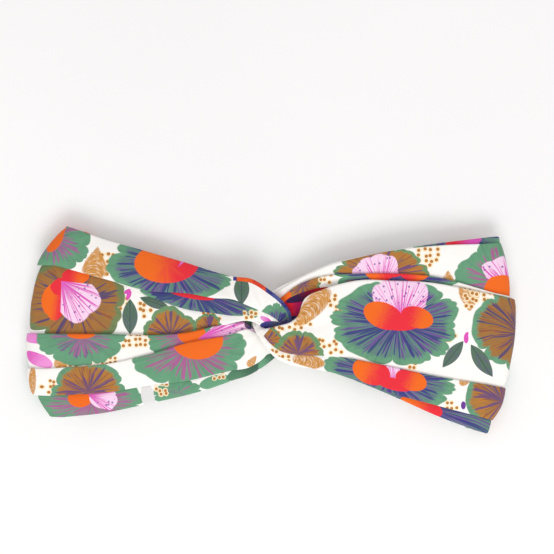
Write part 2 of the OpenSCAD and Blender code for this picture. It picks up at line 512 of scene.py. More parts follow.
def large_flower(p, x, y, reach=(32.4, 21.6)):
    p.bloom("night", (x, y), reach, notch=-64)
    heart(p, x, y)


def left_top_pleat(p):
    """Left band, outermost pleat of the upper leg."""
    p.seeds((-81, 32), (4.5, 7))
    p.feather((-86.5, 33), 17, 11, 84, 0.75)
    p.bloom("sage", (-105.5, 44), (16.8, 16), 0, notch=-55, streaks=0.8)
    p.lobe((-105.2, 45.5), (4.2, 8.5), -24)
    p.bloom("night", (-48.5, 32), (32.5, 19), 0)
    p.lobe((-51.6, 33), (15.9, 10), 0, ORANGE, RED)
    p.fan((-46, 31), 12, 52, 14)
    p.leaf((-14.3, 20), 16, 8)
    p.bloom("night", (2.6, 2.2), (9.6, 11), 0, notch=150, border=0.3)


def left_knot_fold(p):
    """What the left band's inner pleats show in the knot."""
    p.seeds((-10.4, 7.2), (4.2, 2), 0, 2.6)
    p.lobe((-2.4, 5), (3.2, 1.3), -28, (232, 150, 214), MAGENTA)
    p.lobe((-0.4, 2.5), (5, 1.9), 4, NAVY, (84, 88, 126))


def left_second_pleat(p):
    """Left band, narrow pleat between the outermost one and the wide one."""
    p.bloom("night", (-38, 19), (34, 12.4), -17)
    p.lobe((-39, 17.4), (11.5, 2), -10, RED, RED)
    left_knot_fold(p)


def left_wide_pleat(p):
    """Left band, wide inner pleat of the upper leg."""
    p.seeds((-74, 14), (3.5, 5))
    p.seeds((-61.5, 10.5), (4, 4))
    p.seeds((-29, 6.5), (7, 2.4), 0, 2.6)
    p.bloom("ochre_dark", (-96.5, 14), (25, 22), 0, notch=2)
    p.lobe((-96.5, 26.6), (6.8, 4), 0, RED, ORANGE)
    p.lobe((-106, 14.5), (5, 10), -8, ORANGE, RED)
    p.lobe((-104.5, 21.5), (3.6, 4.5), -30, RED, RED)
    p.fan((-103.6, 24.2), 23, -49, 44)
    p.leaf((-69.6, 6.6), 18, 8)
    p.leaf((-57.5, 13.4), 16, 5.5, -20)
    p.lobe((-70.2, 17.2), (1.1, 2.4), -20, MAGENTA, MAGENTA)
    p.lobe((-71, 19), (1.8, 1), 30, MAGENTA, MAGENTA)
    p.bloom("ochre", (-49.5, -3), (13.8, 15), 0, notch=60)
    p.bloom("ochre", (-31, 0), (7.4, 8.6), 0, notch=100)
    left_knot_fold(p)


def left_third_pleat(p):
    """Left band, innermost pleat of the lower leg."""
    p.lobe((-116, -4), (8, 2.6), -8, (238, 150, 216), (232, 130, 208))
    p.lobe((-113.6, -14.6), (7, 3), -28, (228, 104, 196), (238, 150, 216))
    p.seeds((-65.5, -5.5), (8.5, 4.6), 0, 2.7)
    p.seeds((-82, -15.6), (10, 1.8), 5, 2.4)
    p.seeds((-98, -18), (6, 2))
    p.feather((-103.4, -15.6), 8, 6.5, 84, 0.4)
    p.bloom("sage", (-93, -3), (21.8, 14.8), 0, notch=-140, streaks=0.85)
    p.lobe((-93.5, -2), (7, 2.4))
    p.bloom("sage_magenta", (-44, -3), (17, 14), 0)
    p.lobe((-39, -2), (7, 5))
    p.fan((-36, -4.5), 30, 17, 22)
    # painted shade: a dark patch in the gap where this pleat dives into the knot
    p.lobe((-10.5, 3), (2.6, 2.6), 0, (96, 70, 100), NAVY)


def left_fourth_pleat(p):
    """Left band, broad pleat of the lower leg."""
    p.seeds((-106, -27.5), (6, 3.4), 10, 2.6)
    p.seeds((-94, -19), (5, 1.6), 0, 2.4)
    p.feather((-116, -25), 15, 4.4, 88)
    p.bloom("ochre", (-89.7, -30), (18.5, 15), 0, notch=92, rim=GREEN, streaks=0.9)
    p.bloom("sage_magenta", (-41, -9), (29, 20), 0, notch=-20)
    p.lobe((-36, -5), (12.6, 9.5), 0, ORANGE, ORANGE)
    p.feather((-9.2, -15.4), 7, 3.6, 52, 0.5)
    p.lobe((-1, -17.5), (6.5, 3.4), 32, GREEN, DEEP_GREEN)


def left_bottom_pleat(p):
    """Left band, outermost pleat of the lower leg."""
    p.seeds((-110, -38), (4, 3))
    p.bloom("sage_magenta", (-88.5, -36), (26, 15), 0, streaks=0.9)
    p.lobe((-94, -33.5), (6, 4.6))
    p.lobe((-82.5, -34), (7, 4.8), -8, PINK, PINK)
    p.fan((-90, -32), 14, -14, 34)
    # a patch of painted shade on the white cloth, just before the seeds
    p.lobe((-60.5, -33), (3.4, 7), 12, PAINTED_SHADE_GREY, PAINTED_SHADE_GREY)
    p.bloom("sage", (-46, -31), (12, 6.8), 6, streaks=0.2)
    p.seeds((-53.5, -27.5), (4, 4.6), 0, 2.5)
    p.lobe((-27.5, -25.6), (8, 3.2), 14, GREEN, GREEN)
    p.seeds((-25, -22.6), (5, 1.8), 14, 2.4)
    p.lobe((-13.4, -20.4), (9, 3.4), 24, (84, 132, 102), DEEP_GREEN)
    p.lobe((-1, -15.6), (6, 3.4), 34, GREEN, DEEP_GREEN)


def left_rolled_edge(p):
    """Left band, the edge that rolls over as the cloth enters the knot."""
    p.bar(-22, -15.8, NAVY, PURPLE)
    p.bar(-16.2, -8, ORANGE, RED, streaks=0.4)
    p.bar(-8.6, -1.6, (222, 62, 36), ORANGE, streaks=0.5)
    p.bar(-2, 14, NAVY, (84, 96, 160))


def right_top_pleat(p):
    """Right band, the thin edge of the upper leg."""
    p.bloom("night", (90, 50), (27, 14), 0)
    p.lobe((95.5, 44), (9, 3.4), 8, RED, MAGENTA)


def right_second_pleat(p):
    """Right band, the pleat below the upper edge."""
    p.seeds((78, 37), (7, 6.5), 40, 2.8)
    p.feather((87.5, 25), 9, 6, 90, 0.7)
    p.bloom("ochre", (54.6, 27), (23.8, 15), 0, petals=6, border=0.1, notch=20)
    p.fan((55, 19), 19, 108, 62)
    p.bloom("sage_magenta", (112, 24), (21.5, 21), 0, notch=134, petals=5, streaks=0.7)
    p.fan((116, 20), 17, 118, 34)
    p.lobe((112.5, 20), (7, 8), -40, ORANGE, ORANGE)


def right_third_pleat(p):
    """Right band, the narrow pleat above the wide one."""
    p.bloom("ochre", (15.5, 22.5), (10, 7.5), 20)
    p.seeds((27, 25), (4, 3), 0, 2.6)
    p.bloom("night", (62, 28), (31, 16), 0, petals=6)
    p.lobe((54, 31), (8.5, 7), 0, ORANGE, RED)
    p.lobe((71, 31), (9, 7), 180, ORANGE, RED)
    p.lobe((60.5, 30), (5.5, 4), 0, RED, RED)
    p.fan((60, 28.5), 10, 80, 26)
    p.feather((101, 27), 9, 9, 90)
    p.seeds((110, 25), (5, 4))
    p.lobe((6.6, 17.4), (4.6, 3), -50, ORANGE, ORANGE)
    p.lobe((12.6, 9.4), (7.5, 7.4), 0, (218, 18, 42), (196, 30, 120))
    p.lobe((18.4, 17.2), (11.5, 2.2), 17, (46, 18, 70), (190, 16, 44))
    p.lobe((11.8, 4.6), (3.6, 2.4), 0, (40, 40, 100), (40, 24, 80))


def right_wide_pleat(p):
    """Right band, the wide pleat with the large flower."""
    p.seeds((8, .8), (13, 2.2), 14, 2.7)
    p.seeds((31, 12.5), (3.2, 5.5), 20, 2.8)
    p.seeds((29, -8), (8, 3.2), -28, 2.8)
    p.seeds((87.5, -3.3), (4, 2.6), 10, 3)
    p.seeds((69, -17), (2.5, 4), 0, 2.8)
    p.feather((20.5, 11.2), 25, 10, 48, -0.2)
    p.bloom("ochre", (-2, -5.5), (8, 7), 0, petals=4, notch=40)
    p.bloom("ochre", (13.4, -11.5), (12.8, 11.4), 0, notch=150, streaks=1, border=0.22)
    large_flower(p, 62, 3.6)
    p.feather((97.6, 16.5), 15, 10, -90, 0.6)
    p.seeds((98, 17), (4, 7), 0, 2.8)
    p.seeds((106, 17), (7, 3.2), 10, 2.8)
    p.bloom("ochre_dark", (121, 1), (22, 20), 0, rim=GREEN, border=0.14, notch=200, streaks=0.95)
    p.leaf((89.5, -11.9), 17, 6.5, 52)
    p.leaf((103.3, -14.9), 19, 7.5, -57)
    p.lobe((95.9, -4.2), (1.2, 2.4), 0, MAGENTA, MAGENTA)
    p.lobe((96, -2.4), (1.6, 0.9), 60, MAGENTA, MAGENTA)


def right_fifth_pleat(p):
    """Right band, the pleat below the wide one."""
    p.seeds((4, -14), (7, 4), -30, 2.7)
    p.feather((18.5, -15.5), 17, 8, -8)
    p.seeds((88, -38), (4, 2.5), 0, 2.6)
    p.feather((95.5, -25), 7, 4, 30)
    p.bloom("night", (58.5, -23), (33, 17), -9, notch=10)
    p.fan((60, -26), 10, 92, 38)
    p.lobe((60.5, -26.6), (9, 3), -14, RED, RED)
    p.lobe((49.4, -20.4), (9.6, 6.4), -20, ORANGE, RED)
    p.lobe((68.8, -24.6), (8, 5), 160, ORANGE, RED)
    p.bloom("ochre", (112.5, -33), (16.8, 17), 0, notch=140, streaks=0.9, rim=GREEN)
    p.lobe((94.5, -37), (1.2, 2), 0, PURPLE, PURPLE)


def right_bottom_pleat(p):
    """Right band, outermost pleat of the lower leg."""
    p.bloom("night", (78, -38), (44, 24), 0, streaks=0.95)
    p.lobe((74, -38), (11, 5), -18, ORANGE, RED)


PLEAT_PRINTS = (
    left_top_pleat, left_second_pleat, left_wide_pleat, left_bottom_pleat, left_fourth_pleat,
    left_third_pleat, left_rolled_edge, right_top_pleat, right_second_pleat, right_third_pleat,
    right_bottom_pleat, right_fifth_pleat, right_wide_pleat,
)
CLOTH = {motifs.__name__.replace("_", " "): motifs for motifs in PLEAT_PRINTS}
CLOTH["all-over print"] = None
CLOTH = {name: cloth_material(name, motifs) for name, motifs in CLOTH.items()}


def plain_material(name, colour, second, rough, height):
    """Thread or webbing: height gives the bump from the object's own coordinates, in millimetres. The
    second colour gives a random mottle, and painted shade in the grooves where the bumps are low.
    """
    material, tree = new_material(name)
    place = field(tree, "ShaderNodeTexCoord", output="Object")
    place = field(tree, "ShaderNodeMapping", {"Vector": place, "Scale": (1000, 1000, 1000)})
    bumps = height(*split(place)[:2])
    mottle = noise_node(place, 0.9, 3.0)
    base = mix(smooth_step(mottle, 0.35, 0.7), paint(colour), paint(second))
    # painted shade: darker towards the second colour in the grooves, where the bumps are low
    base = mix(smooth_step(bumps, 0.4, 0.0, 0.0, 0.5), base, paint(second))
    surface(tree, {
        "Base Color": base, "Roughness": smooth_step(mottle, 0.3, 0.7, rough, rough - 0.12),
        "Specular IOR Level": 0.3, "Sheen Weight": 0.15,
    }, bumps, 0.6, 0.2)
    return material


def webbing_ribs(x, y):
    """Fine ribs along the elastic, crossed by the weft."""
    return 0.25 * sine(x * (2 * math.pi / 0.8)) + abs(sine(y * (2 * math.pi / 1.6)))


def thread_twist(x, y):
    """The slanting lay of a twisted sewing thread."""
    return abs(sine((x + y) * 9.0))


WEBBING = plain_material("elastic webbing", (236, 234, 228), (214, 210, 202), 0.75, webbing_ribs)
THREAD = plain_material("sewing thread", (240, 238, 230), (222, 216, 204), 0.7, thread_twist)

# ---------------------------------------------------------------- the two bands
# Each row is one cross-section of a band on its way from the upper end, through the turn in the knot, to
# the lower end. It gives the places (x, y) of the outer edge, the two pleat folds and the inner edge,
# then their heights, how far the strand is lifted, and how deep each pleat is tucked (below zero where
# the pleat nearer the inner edge lies on top).
UPPER_LEFT = (11.5, 15.0, 13.6, 11.0)
LOWER_LEFT = (11.5, 14.4, 15.2, 14.0)
UPPER_RIGHT = (11.2, 13.1, 13.9, 11.0)
LOWER_RIGHT = (11.5, 13.9, 14.6, 15.6)
ROUND = (11.6, 13.2, 13.2, 12.2)

LEFT_ROWS = [
    ((-95, 49.4), (-106.4, 31.8), (-106.4, 32.0), (-112.5, -6), UPPER_LEFT, 0, 5, 4),
    ((-80, 44.2), (-80, 24.5), (-80, 24.7), (-80, -6), UPPER_LEFT, 0, 5, 4),
    ((-60, 38.5), (-60, 19.2), (-60, 16.4), (-60, -6), UPPER_LEFT, 0, 5, 4),
    ((-40, 32.7), (-40, 17.8), (-40, 9.8), (-40, -5), UPPER_LEFT, 0, 4.5, 4),
    ((-28, 28.8), (-28, 15.6), (-28, 8.2), (-28, 0.5), UPPER_LEFT, 1, 4, 3),
    ((-18.5, 26.3), (-19, 15), (-19.5, 7), (-19.5, 3.2), (11.6, 14.4, 13.6, 11.6), 4.4, 3, 2.4),
    ((-8.5, 24.7), (-11, 11.8), (-12, 6.8), (-12.5, 4.5), (11.8, 14.0, 13.4, 12.0), 7, 2.4, 1.6),
    ((-0.5, 19.6), (-5.2, 9.4), (-8, 5.8), (-8.4, 3.8), (11.8, 14.0, 13.4, 12.0), 7, 2, 1.2),
    ((5.5, 14.6), (0.8, 6.4), (-4.2, 3.2), (-5.3, 1.9), (11.8, 13.8, 13.4, 12.0), 6, 1.6, 1),
    ((9.4, 9.6), (4.0, 3.8), (-1.8, 1.4), (-3.4, 0.2), ROUND, 3.5, 1, 0.8),
    ((10.4, 4), (4, 0.5), (-1, -0.6), (-3, -1.2), ROUND, 1, 0.4, 0.8),
    ((9.6, -2.5), (3.5, -3.5), (-2, -2.5), (-3.8, -2.2), ROUND, 0, -0.6, 0.8),
    ((6.5, -9), (0.5, -8.5), (-4.5, -2.8), (-6, -1.5), ROUND, 0, -1.2, 1),
    ((0.5, -15), (-3.5, -13.8), (-7.5, -1.5), (-9, 0.8), (11.5, 13.6, 14.2, 12.6), 0, -2, 1.2),
    ((-8, -20.9), (-9.5, -17.9), (-11.5, 0.3), (-12, 3.8), (11.5, 14.0, 14.8, 13.2), 0, -3, 2),
    ((-19, -25), (-19.5, -20), (-20, -2.4), (-20, 3.2), LOWER_LEFT, 0, -4, 3),
    ((-29, -28.6), (-29, -22.2), (-29, -4), (-29, 1.6), LOWER_LEFT, 0, -4.5, 3.5),
    ((-40, -31.8), (-40, -24.8), (-40, -6), (-40, -1), LOWER_LEFT, 0, -5, 4),
    ((-60, -36.3), (-60, -27.3), (-60, -12), (-60, -2.5), LOWER_LEFT, 0, -5, 4),
    ((-80, -40.6), (-80, -30.6), (-80, -16.5), (-80, -2), LOWER_LEFT, 0, -5, 4),
    ((-102.4, -43.1), (-108.7, -32.3), (-111, -19), (-112.2, -1.8), LOWER_LEFT, 0, -5, 4),
]
RIGHT_ROWS = [
    ((106.8, 45.9), (106, 42.6), (110.6, 18.2), (110.8, 13), UPPER_RIGHT, 0, -5, -3.5),
    ((80, 42.6), (80, 41.5), (80, 26.4), (80, 18.5), UPPER_RIGHT, 0, -5, -4),
    ((60, 39.4), (60, 39.2), (60, 27.9), (60, 19.5), UPPER_RIGHT, 0, -5, -4),
    ((40, 35.3), (40, 35.0), (40, 27.7), (40, 20), UPPER_RIGHT, 0, -4, -3.5),
    ((30, 33.1), (30, 32.5), (30, 27.1), (29, 18.5), UPPER_RIGHT, 0, -3.5, -3),
    ((21, 29.3), (21, 28.7), (20.5, 25.2), (19, 12), UPPER_RIGHT, 0, -2.5, -3),
    ((12, 25.1), (12, 24.2), (11.5, 21), (11, 5), UPPER_RIGHT, 0, -2, -2.5),
    ((3, 20.6), (3.5, 19), (4, 15), (4.5, 2.5), ROUND, 0, -1.5, -2),
    ((-4, 15), (-3, 13.5), (-1.5, 10), (0.5, 1.6), ROUND, 0, -1.6, -1.8),
    ((-8, 9.5), (-6.5, 8.5), (-4.5, 6), (-2, 1.4), ROUND, 0.5, -1.8, -1.8),
    ((-9.2, 4.6), (-7.6, 4.2), (-5.8, 3), (-3, 1), ROUND, 3, -1.8, -1.8),
    ((-8.2, 0.4), (-6.9, 0.3), (-5.4, 0), (-2.4, 0.7), ROUND, 6, -1.8, -1.8),
    ((-5.8, -3.6), (-4.9, -3.2), (-3.6, -2.8), (0, 1.2), ROUND, 7, -1.8, -1.8),
    ((-2.8, -8.2), (-1.8, -7.7), (-0.3, -6.6), (4, 2.2), (11.6, 13.0, 13.6, 12.8), 7, -0.8, -1),
    ((2, -13.4), (3, -12.3), (4.5, -10.2), (9, 3.6), (11.6, 13.2, 14.0, 13.4), 7, -1, -1.6),
    ((10, -17.2), (11, -15.8), (12, -12), (13.2, 7), (11.6, 13.4, 14.2, 14.2), 6, -1.6, -2.4),
    ((20, -18.9), (20, -18.7), (20, -12.4), (16.5, 15.2), (11.6, 13.6, 14.4, 14.8), 4, -3, -2.4),
    ((30, -21), (30, -20.9), (30, -12.8), (27, 20.5), (11.6, 13.8, 14.6, 15.4), 1.6, -4, -0.6),
    ((40, -24.5), (40, -24.3), (40, -14.2), (40, 24), LOWER_RIGHT, 0, -4.5, 3),
    ((60, -32.6), (60, -31.3), (60, -18.2), (60, 24.3), LOWER_RIGHT, 0, -5, 4),
    ((80, -41.6), (80, -36.7), (80, -22.5), (80, 23.2), LOWER_RIGHT, 0, -5, 4),
    ((100.4, -49.4), (101, -42.2), (107, -26.9), (111.2, 17.2), LOWER_RIGHT, 0, -5, 4),
]
# Directions in which the four lines of a band leave the front at its ends, and how far each of the
# three pleats bulges out there.
ENDS = {
    "left": {
        "upper": (((-0.945, 0.326), (-1, 0.02), (-1, 0.02), (-1, 0)), (0.7, 0, 2.2)),
        "lower": (((-1, 0.02),) * 4, (0.4, 0.5, 0.6)),
    },
    "right": {
        "upper": (((1, 0.1), (1, 0.1), (0.98, -0.2), (0.98, -0.2)), (0, 0.8, 0)),
        "lower": (((0.96, -0.28), (0.96, -0.27), (0.98, -0.2), (0.98, -0.2)), (0.4, 0.8, 1.6)),
    },
}
SIGN = {"left": -1, "right": 1}
PLEATS = {
    "left": ("left top pleat", "left second pleat", "left wide pleat",
             "left bottom pleat", "left fourth pleat", "left third pleat"),
    "right": ("right top pleat", "right second pleat", "right third pleat",
              "right bottom pleat", "right fifth pleat", "right wide pleat"),
}
EDGE_PART = 3
UNDER_PART = 4


def through(knots, values, at):
    """A smooth curve through the values at the knots, read at other places."""
    step = np.diff(knots)[:, None]
    slope = np.diff(values, axis=0) / step
    tangent = np.empty_like(values)
    tangent[1:-1] = (slope[:-1] * step[1:] + slope[1:] * step[:-1]) / (step[:-1] + step[1:])
    tangent[0], tangent[-1] = slope[0], slope[-1]
    i = np.clip(np.searchsorted(knots, at, side="right") - 1, 0, len(step) - 1)
    h = step[i]
    t = (at - knots[i])[:, None] / h
    start = (1 + 2 * t) * (1 - t) ** 2 * values[i] + t * (1 - t) ** 2 * h * tangent[i]
    return start + t * t * (3 - 2 * t) * values[i + 1] + t * t * (t - 1) * h * tangent[i + 1]


def stations(rows):
    """The rows of a band, filled in to closely spaced cross-sections, with each row's own number."""
    table = []
    for o, a, b, n, heights, lift, tuck_a, tuck_b in rows:
        line = []
        for (x, y), z in zip((o, a, b, n), heights):
            line += [x, y, z + lift]
        table.append(line + [tuck_a, tuck_b, lift])
    table = np.array(table, float)
    middle = (table[:, 3:5] + table[:, 6:8] + table[:, 0:2] + table[:, 9:11]) / 4
    gaps = np.maximum(np.linalg.norm(np.diff(middle, axis=0), axis=1), 4.0)
    knots = np.concatenate([[0], np.cumsum(gaps)])
    at, numbers = [0.0], [0]
    for i, gap in enumerate(gaps):
        count = max(3, math.ceil(gap / STATION_STEP))
        at += list(knots[i] + gap * np.arange(1, count + 1) / count)
        numbers.append(len(at) - 1)
    return through(knots, table, np.array(at)), numbers


def ease(t):
    """0 to 1 with a soft start and end."""
    return t * t * (3 - 2 * t)


def clamp(value):
    return min(1.0, max(0.0, value))


def unit(v):
    return v / np.maximum(np.linalg.norm(v, axis=-1, keepdims=True), 1e-9)


class Section:
    """The points round every cross-section of a band, with each point's rail and each side's part."""

    def __init__(self, table):
        self.rails = [table[:, 3 * i:3 * i + 3] for i in range(4)]
        self.tucks = table[:, 12:14]
        self.lift = table[:, 14:15]
        across = self.rails[3][:, :2] - self.rails[0][:, :2]
        self.toward = unit(np.hstack([across, np.zeros((len(table), 1))]))
        self.points, self.rail, self.part, self.top = [], [], [], []

    def add(self, points, rail, part, top=1.0):
        self.points.append(points)
        self.rail.append(rail)
        self.part.append(part)
        self.top.append(top)

    def strip(self, start, end, number, crown, count):
        """One pleat from start to end, a little crowned. The points at both ends belong to the folds."""
        width = np.linalg.norm(end[:, :2] - start[:, :2], axis=1, keepdims=True)
        for s in np.arange(1, count) / count:
            point = start + (end - start) * s
            rise = crown * np.minimum(width / 22, 1.6) * (4 * s * (1 - s)) ** 0.7
            self.add(point + rise * [0, 0, 1], number + s, number)

    def arc(self, centre, radius, start, end, number, part, count, tops):
        """A rounded fold; angles are measured from straight up, towards the inner edge."""
        for i in range(count + 1):
            share = i / count
            angle = math.radians(start + (end - start) * share)
            out = self.toward * math.sin(angle) + np.array([0, 0, math.cos(angle)])
            self.add(centre + radius * out, number, part, tops[0] + (tops[1] - tops[0]) * share)

    def half_turn(self, centre, radius, way, up, number, part):
        """Half a turn from the side of up, round and away from it; way is 1 towards the inner edge."""
        for i in range(5):
            angle = math.pi * i / 4
            self.add(centre + radius * (way * self.toward * math.sin(angle) + up * math.cos(angle)),
                     number, part)

    def pleat(self, i):
        """Where strip i ends and strip i + 1 starts: their levels and places at the tuck."""
        fold, tuck = self.rails[i + 1], self.tucks[:, i:i + 1]
        step = PLEAT_STEP * np.clip(np.abs(tuck) / 3, 0, 1) * np.sign(tuck)
        up = np.array([0, 0, 1.0])
        half = np.abs(step) / 2
        first = fold + step * up + self.toward * (np.maximum(-tuck, 0) - half * (tuck > 0))
        second = fold - step * up - self.toward * (np.maximum(tuck, 0) - half * (tuck <= 0))
        return first, second, step, half


def cross_sections(table, edge_radius):
    """All the points of a pleated tube: (stations, points round, 3), and what each point is."""
    s = Section(table)
    outer_radius, inner_radius = edge_radius
    up = np.array([0, 0, 1.0])
    outer = s.rails[0] + s.toward * outer_radius
    inner = s.rails[3] - s.toward * inner_radius
    start = outer + up * outer_radius
    s.arc(outer, outer_radius, -180, 0, 0.0, EDGE_PART, 7, (0.0, 1.0))
    for i, (crown, count) in enumerate(((0.9, 14), (0.7, 12))):
        first, second, step, half = s.pleat(i)
        s.strip(start, first, i, crown, count)
        # the tuck: over the first fold, back underneath, and round the second fold
        above = up * np.where(step < 0, -1.0, 1.0)
        s.half_turn(first - step / 2 * up, half, 1, above, i + 1.0, i)
        lower = second + step / 2 * up
        for share in (0.33, 0.67):
            s.add(first - step * up + (lower + step / 2 * up - first + step * up) * share, i + 1.0, i)
        s.half_turn(lower, half, -1, above, i + 1.0, i + 1)
        start = second
    end = inner + up * inner_radius
    s.strip(start, end, 2, 0.9, 18)
    s.arc(inner, inner_radius, 0, 180, 3.0, 2, 6, (1.0, 0.0))
    # the underside, from the inner edge back to the outer one, with the long seam along its middle
    low = FRONT_Z + 0.1 + s.lift
    a, b = inner - up * inner_radius, outer - up * outer_radius
    for share in np.arange(1, UNDER_STEPS) / UNDER_STEPS:
        point = a + (b - a) * share
        fall = ease(clamp((share - 0.12) / 0.25))
        rise = clamp((share - 0.9) / 0.1)
        seam = 0.45 * math.exp(-((share - 0.56) / 0.018) ** 2)
        point[:, 2:] = (a[:, 2:] * (1 - fall) + low * fall) * (1 - rise) + b[:, 2:] * rise + seam
        s.add(point, 3.0 * (1 - share), UNDER_PART, 0.0)
    return np.stack(s.points, axis=1), np.array(s.rail), np.array(s.part), np.array(s.top)


def crumple(x, y, side):
    """Height of the cloth's soft creases at a place on the front: they gather towards the knot."""
    seed = 3.0 if side == "left" else 11.0
    away = math.hypot(x, y - 3)
    turn = math.atan2(y - 3, abs(x) + 1e-6)
    near = math.exp(-((away / 34) ** 2))
    radial = noise.noise(Vector((turn * 5.5, away / 26, seed)))
    broad = noise.noise(Vector((x / 30, y / 9, seed + 5)))
    fine = noise.noise(Vector((x / 9, y / 5, seed + 9)))
    height = near * 0.9 * radial + 0.45 * broad + 0.14 * fine
    if side == "right":
        along = clamp((x - 14) / 20)
        crease = y - (2.0 + 2.4 * along)
        ends = math.exp(-(((x - 24) / 13) ** 4))
        height -= 0.9 * ends * math.exp(-((crease / 1.3) ** 2))
    return height


def end_turn(profile, rail, side, leg):
    """From a front end section, outwards: round the nose and along the back to the seam with the casing.

    Returns the points and the place of each on the print, one row for each step.
    """
    directions, bulges = ENDS[side][leg]
    directions = np.array(directions, float)
    lower = np.clip(rail.astype(int), 0, 2)
    share = (rail - lower)[:, None]
    out = unit(directions[lower] * (1 - share) + directions[lower + 1] * share)
    bulge = np.array(bulges)[lower] * 4 * share[:, 0] * (1 - share[:, 0])
    centre, w = profile[:, :2], profile[:, 2] - FRONT_Z
    top_radius = FRONT_Z - NOSE_Z + w
    low_radius = NOSE_Z - BACK_Z + BACK_SHARE * w
    points, places = [], []
    for t in np.arange(1, NOSE_STEPS + 1) / NOSE_STEPS:
        angle = math.pi * (0.5 - t)
        radius = top_radius * (1 - t) + low_radius * t
        reach = (5.2 + 0.8 * w + bulge) * math.cos(angle)
        xy = centre + out * reach[:, None]
        points.append(np.column_stack([xy, NOSE_Z + radius * math.sin(angle)]))
        travelled = math.pi * t * (top_radius + radius) / 2
        places.append(np.column_stack([centre[:, 0] + SIGN[side] * travelled, centre[:, 1]]))
    y_low, y_high = centre[:, 1].min(), centre[:, 1].max()
    top, bottom = CASING_Y + CASING_W / 2 - 1.2, CASING_Y - CASING_W / 2 + 1.2
    room = (0.0, top) if leg == "upper" else (bottom, 0.0)
    seam_y = room[0] + (centre[:, 1] - y_low) / (y_high - y_low) * (room[1] - room[0])
    seam_x = SIGN[side] * (SEAM_X - 1.4)
    for t in np.arange(1, BACK_STEPS + 1) / BACK_STEPS:
        x = centre[:, 0] * (1 - t) + seam_x * t
        y = centre[:, 1] * (1 - ease(t)) + seam_y * ease(t)
        z = points[NOSE_STEPS - 1][:, 2]
        flat = max(0.0, (t - 0.9) / 0.1)
        gather = 0.55 * max(0.0, t - 0.45) / 0.55
        phase = seam_y * 2 * math.pi / 3.6 + 1.4 * np.sin(seam_y * 0.9)
        squeeze = 1 - 0.35 * flat
        z = CASING_T / 2 + (z - CASING_T / 2) * squeeze
        z = z + gather * np.sin(phase) * (0.6 + 0.4 * np.sign(CASING_T / 2 - z)) * 0.7
        z = np.clip(z, 0.25, CASING_T - 0.1)
        points.append(np.column_stack([x, y, z]))
        far = np.hypot(x - centre[:, 0], y - centre[:, 1])
        places.append(np.column_stack([places[NOSE_STEPS - 1][:, 0] + SIGN[side] * far, centre[:, 1]]))
    return np.array(points), np.array(places)


def add_object(name, data):
    made = bpy.data.objects.new(name, data)
    bpy.context.scene.collection.objects.link(made)
    return made


def ring_mesh(name, grid, uvs, materials, slots, flip, normals=None):
    """A mesh through a grid of points (rows, points round, 3) that closes on itself round each row."""
    rows, count = grid.shape[:2]
    index = np.arange(rows * count).reshape(rows, count)
    after = np.roll(index, -1, axis=1)
    quads = np.stack([index[:-1], after[:-1], after[1:], index[1:]], axis=-1).reshape(-1, 4)
    if flip:
        quads = quads[:, ::-1]
    mesh = bpy.data.meshes.new(name)
    mesh.from_pydata((grid.reshape(-1, 3) * MM).tolist(), [], quads.tolist())
    mesh.polygons.foreach_set("use_smooth", np.ones(len(quads), bool))
    for material in materials:
        mesh.materials.append(material)
    mesh.polygons.foreach_set("material_index", np.asarray(slots, int).reshape(-1))
    layer = mesh.uv_layers.new(name="print")
    corner_uvs = uvs(quads, index.shape)
    layer.data.foreach_set("uv", corner_uvs.astype(np.float32).reshape(-1))
    mesh.update()
    if normals is not None:
        mesh.normals_split_custom_set_from_vertices(normals.reshape(-1, 3).tolist())
    return add_object(name, mesh)


def grid_normals(grid, flip):
    """Smooth normals of a grid of points that closes on itself round each row."""
    along = np.gradient(grid, axis=0)
    round_it = (np.roll(grid, -1, axis=1) - np.roll(grid, 1, axis=1)) / 2
    normal = np.cross(round_it, along)
    size = np.linalg.norm(normal, axis=-1, keepdims=True)
    normal = np.where(size > 1e-9, normal / np.maximum(size, 1e-9), [0, 0, 1.0])
    return -normal if flip else normal


def band(side, rows, edge_radius):
    """One band as five pieces that meet without a gap: front, and an end and a back for each leg."""
    table, numbers = stations(rows)
    points, rail, part, top = cross_sections(table, edge_radius)
    for row in points:
        for j in np.nonzero(top)[0]:
            row[j, 2] += top[j] * crumple(row[j, 0], row[j, 1], side)
    places = points[:, :, :2].copy()
    upper, upper_places = end_turn(points[0], rail, side, "upper")
    lower, lower_places = end_turn(points[-1], rail, side, "lower")
    grid = np.concatenate([upper[::-1], points, lower])
    places = np.concatenate([upper_places[::-1], places, lower_places])
    flip = side == "right"
    normals = grid_normals(grid, flip)
    before = len(upper)
    turn_row = before + numbers[len(rows) // 2 + 1]
    # from the back seam of the upper leg to that of the lower leg; an end is cut halfway round its nose
    at = [0, before - NOSE_STEPS // 2 - 1, before + numbers[1], before + numbers[-2],
          before + len(points) + NOSE_STEPS // 2, len(grid) - 1]
    pieces = ("upper_back", "upper_end", "front", "lower_end", "lower_back")
    names = [*PLEATS[side], "all-over print"]
    if side == "left":
        names.append("left rolled edge")
    materials = [CLOTH[name] for name in names]
    made = {}
    for piece, first, last in zip(pieces, at, at[1:]):
        block = slice(first, last + 1)
        slots = np.zeros((last - first, len(part)), int)
        for r in range(last - first):
            lower_leg = first + r >= turn_row
            for j, kind in enumerate(part):
                pleat = 0 if kind == EDGE_PART else kind
                slots[r, j] = pleat + 3 * lower_leg
                if kind == UNDER_PART or piece.endswith("back"):
                    slots[r, j] = 6
                elif kind == EDGE_PART and side == "left" and not lower_leg and piece == "front":
                    if table[first + r - before, 0] > -19:
                        slots[r, j] = 7

        def uvs(quads, shape, block=block):
            flat = places[block].reshape(-1, 2)
            corner = flat[quads]
            under = (part == UNDER_PART)[quads[:, 0] % shape[1]]
            corner[under] += [0.0, UNDERSIDE_SHIFT]
            return corner

        made[piece] = ring_mesh(f"{side}_cloth_{piece}", grid[block], uvs, materials, slots, flip,
                                normals[block])
    return made


